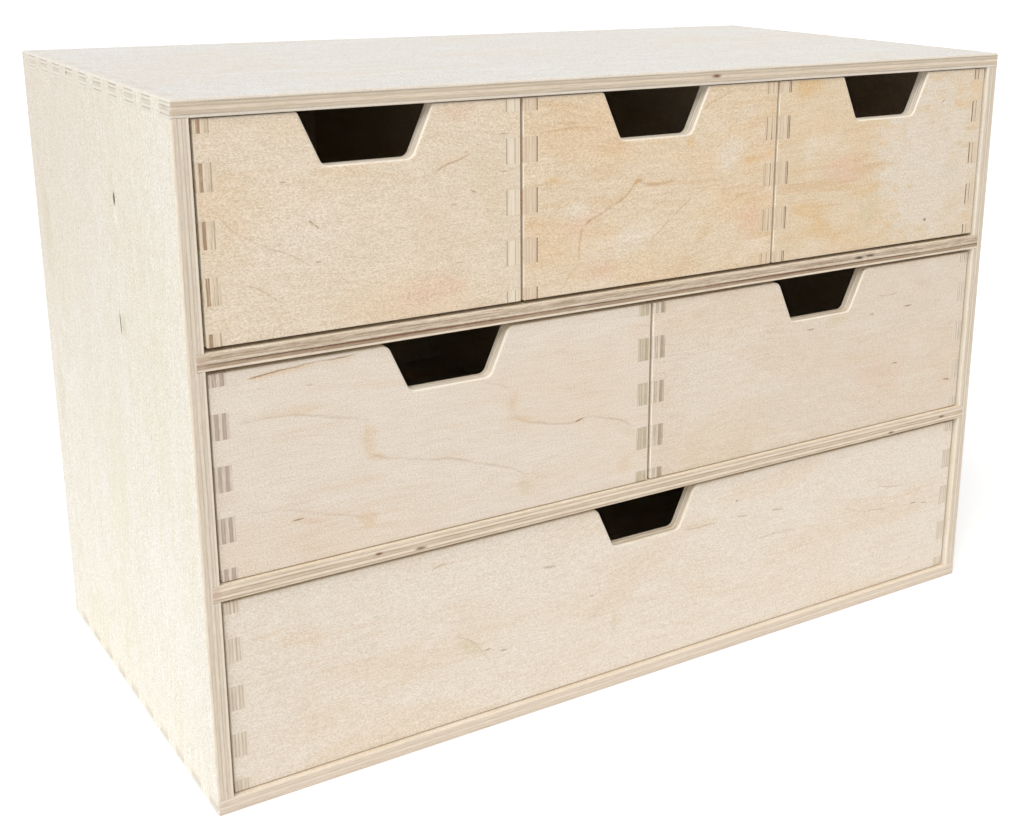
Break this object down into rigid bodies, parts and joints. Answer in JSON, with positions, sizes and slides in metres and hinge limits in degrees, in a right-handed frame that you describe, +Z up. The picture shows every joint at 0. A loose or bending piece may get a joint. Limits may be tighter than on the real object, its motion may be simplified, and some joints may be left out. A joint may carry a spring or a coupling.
{
  "type": "desktop mini drawers",
  "caption": "Desktop chest of small pull-out drawers in birch plywood, with finger-jointed corners and angled finger cut-outs, for sorting craft supplies and small parts.",
  "frame": {"origin": "middle of the chest's base, on the surface that it stands on", "axes": "+X along the width to the right as seen from the front, +Y from the drawer fronts to the back, +Z up"},
  "size_m": [0.4, 0.203, 0.272],
  "materials": {
    "chest_plywood": "sanded, satin",
    "warm_plywood": "sanded, satin",
    "pale_plywood": "sanded, satin",
    "thin_plywood": "sanded, satin"
  },
  "bodies": {
    "chest": {"side_left": "chest_plywood", "side_right": "chest_plywood", "top_panel": "chest_plywood", "bottom_panel": "chest_plywood", "shelf_upper": "chest_plywood", "shelf_lower": "chest_plywood", "back_panel": "thin_plywood"},
    "top_left_drawer": {"top_left_drawer_front": "warm_plywood", "top_left_drawer_back": "warm_plywood", "top_left_drawer_side_left": "warm_plywood", "top_left_drawer_side_right": "warm_plywood", "top_left_drawer_floor": "thin_plywood"},
    "top_middle_drawer": {"top_middle_drawer_front": "warm_plywood", "top_middle_drawer_back": "warm_plywood", "top_middle_drawer_side_left": "warm_plywood", "top_middle_drawer_side_right": "warm_plywood", "top_middle_drawer_floor": "thin_plywood"},
    "top_right_drawer": {"top_right_drawer_front": "warm_plywood", "top_right_drawer_back": "warm_plywood", "top_right_drawer_side_left": "warm_plywood", "top_right_drawer_side_right": "warm_plywood", "top_right_drawer_floor": "thin_plywood"},
    "middle_left_drawer": {"middle_left_drawer_front": "pale_plywood", "middle_left_drawer_back": "pale_plywood", "middle_left_drawer_side_left": "pale_plywood", "middle_left_drawer_side_right": "pale_plywood", "middle_left_drawer_floor": "thin_plywood"},
    "middle_right_drawer": {"middle_right_drawer_front": "pale_plywood", "middle_right_drawer_back": "pale_plywood", "middle_right_drawer_side_left": "pale_plywood", "middle_right_drawer_side_right": "pale_plywood", "middle_right_drawer_floor": "thin_plywood"},
    "bottom_drawer": {"bottom_drawer_front": "pale_plywood", "bottom_drawer_back": "pale_plywood", "bottom_drawer_side_left": "pale_plywood", "bottom_drawer_side_right": "pale_plywood", "bottom_drawer_floor": "thin_plywood"}
  },
  "joints": [
    {"name": "top_left_drawer_slide", "type": "slide", "parent": "chest", "child": "top_left_drawer", "axis": [0, -1, 0], "range_m": [-0.0022, 0.155]},
    {"name": "top_middle_drawer_slide", "type": "slide", "parent": "chest", "child": "top_middle_drawer", "axis": [0, -1, 0], "range_m": [-0.0022, 0.155]},
    {"name": "top_right_drawer_slide", "type": "slide", "parent": "chest", "child": "top_right_drawer", "axis": [0, -1, 0], "range_m": [-0.0022, 0.155]},
    {"name": "middle_left_drawer_slide", "type": "slide", "parent": "chest", "child": "middle_left_drawer", "axis": [0, -1, 0], "range_m": [-0.0017, 0.155]},
    {"name": "middle_right_drawer_slide", "type": "slide", "parent": "chest", "child": "middle_right_drawer", "axis": [0, -1, 0], "range_m": [-0.0017, 0.155]},
    {"name": "bottom_drawer_slide", "type": "slide", "parent": "chest", "child": "bottom_drawer", "axis": [0, -1, 0], "range_m": [-0.0012, 0.155]}
  ]
}
